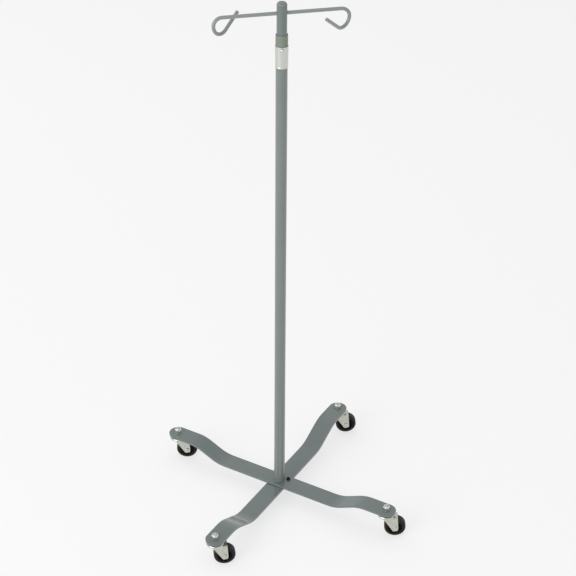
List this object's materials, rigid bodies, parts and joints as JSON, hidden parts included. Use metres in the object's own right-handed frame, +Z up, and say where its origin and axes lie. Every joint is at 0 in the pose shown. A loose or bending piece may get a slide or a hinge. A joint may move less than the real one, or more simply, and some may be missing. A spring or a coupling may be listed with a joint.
{
  "type": "infusion stand",
  "caption": "Rolling infusion stand: a telescoping round pole with a lift collar and a double bent-rod hook, on a crossed flat-bar base with swivel casters.",
  "frame": {"origin": "on the floor, under the middle of the stand's footprint with all casters trailing the same way; the pole's axis stands 11 mm toward -X and 4 mm toward -Y of it", "axes": "+Z up along the pole, X along the upper leg bar, Y along the lower leg bar"},
  "size_m": [0.6452, 0.6334, 1.2813],
  "materials": {
    "grey_paint": "satin grey enamel with a faint green cast",
    "chrome": "bright plating, lightly drawn lengthwise",
    "zinc_steel": "bright zinc plate with a warm cast",
    "plain_steel": "bare steel",
    "black_steel": "black oxide",
    "collet_plastic": "moulded beige-grey plastic",
    "cap_plastic": "moulded grey-green plastic",
    "white_nylon": "natural nylon",
    "black_plastic": "moulded black plastic",
    "black_rubber": "matt black tread rubber"
  },
  "bodies": {
    "base": {"upper_leg_bar": "grey_paint", "lower_leg_bar": "grey_paint", "pole_plug": "plain_steel", "pole_bolt": "zinc_steel", "pole_bolt_washer": "zinc_steel", "locating_screw": "black_steel", "locating_nut": "zinc_steel", "outer_tube": "grey_paint", "lock_sleeve": "chrome", "lock_pin": "chrome", "caster_stem_right": "zinc_steel", "stem_washer_right": "zinc_steel", "stem_nut_right": "zinc_steel", "caster_stem_back": "zinc_steel", "stem_washer_back": "zinc_steel", "stem_nut_back": "zinc_steel", "caster_stem_left": "zinc_steel", "stem_washer_left": "zinc_steel", "stem_nut_left": "zinc_steel", "caster_stem_front": "zinc_steel", "stem_washer_front": "zinc_steel", "stem_nut_front": "zinc_steel"},
    "lock_collet": {"lock_collet": "collet_plastic"},
    "slide_guide": {"guide_bush": "white_nylon"},
    "inner_pole": {"inner_tube": "grey_paint", "hook_rod": "grey_paint", "top_cap": "cap_plastic"},
    "swivel_right": {"caster_fork_right": "zinc_steel", "ball_race_right": "plain_steel", "axle_right": "zinc_steel"},
    "wheel_right": {"hub_right": "black_plastic", "tyre_right": "black_rubber"},
    "swivel_back": {"caster_fork_back": "zinc_steel", "ball_race_back": "plain_steel", "axle_back": "zinc_steel"},
    "wheel_back": {"hub_back": "black_plastic", "tyre_back": "black_rubber"},
    "swivel_left": {"caster_fork_left": "zinc_steel", "ball_race_left": "plain_steel", "axle_left": "zinc_steel"},
    "wheel_left": {"hub_left": "black_plastic", "tyre_left": "black_rubber"},
    "swivel_front": {"caster_fork_front": "zinc_steel", "ball_race_front": "plain_steel", "axle_front": "zinc_steel"},
    "wheel_front": {"hub_front": "black_plastic", "tyre_front": "black_rubber"}
  },
  "joints": [
    {"name": "pole_slide", "type": "slide", "parent": "base", "child": "slide_guide", "axis": [0, 0, 1], "range_m": [0, 0.84]},
    {"name": "pole_turn", "type": "hinge", "parent": "slide_guide", "child": "inner_pole", "pos_m": [-0.01074, -0.00487, 0.07716], "axis": [0, 0, 1], "continuous": true},
    {"name": "collet_lift", "type": "slide", "parent": "base", "child": "lock_collet", "axis": [0, 0, 1], "range_m": [0, 0.006]},
    {"name": "caster_swivel_right", "type": "hinge", "parent": "base", "child": "swivel_right", "pos_m": [0.27886, -0.00487, 0.0652], "axis": [0, 0, 1], "continuous": true},
    {"name": "wheel_spin_right", "type": "hinge", "parent": "swivel_right", "child": "wheel_right", "pos_m": [0.29723, 0.00532, 0.02524], "axis": [-0.4848, 0.8746, 0], "continuous": true},
    {"name": "caster_swivel_back", "type": "hinge", "parent": "base", "child": "swivel_back", "pos_m": [-0.01074, 0.28474, 0.0652], "axis": [0, 0, 1], "continuous": true},
    {"name": "wheel_spin_back", "type": "hinge", "parent": "swivel_back", "child": "wheel_back", "pos_m": [0.00687, 0.29617, 0.02524], "axis": [-0.5446, 0.8387, 0], "continuous": true},
    {"name": "caster_swivel_left", "type": "hinge", "parent": "base", "child": "swivel_left", "pos_m": [-0.30034, -0.00487, 0.0652], "axis": [0, 0, 1], "continuous": true},
    {"name": "wheel_spin_left", "type": "hinge", "parent": "swivel_left", "child": "wheel_left", "pos_m": [-0.28234, 0.00595, 0.02524], "axis": [-0.515, 0.8572, 0], "continuous": true},
    {"name": "caster_swivel_front", "type": "hinge", "parent": "base", "child": "swivel_front", "pos_m": [-0.01074, -0.29446, 0.0652], "axis": [0, 0, 1], "continuous": true},
    {"name": "wheel_spin_front", "type": "hinge", "parent": "swivel_front", "child": "wheel_front", "pos_m": [0.00581, -0.28154, 0.02524], "axis": [-0.6157, 0.788, 0], "continuous": true}
  ]
}
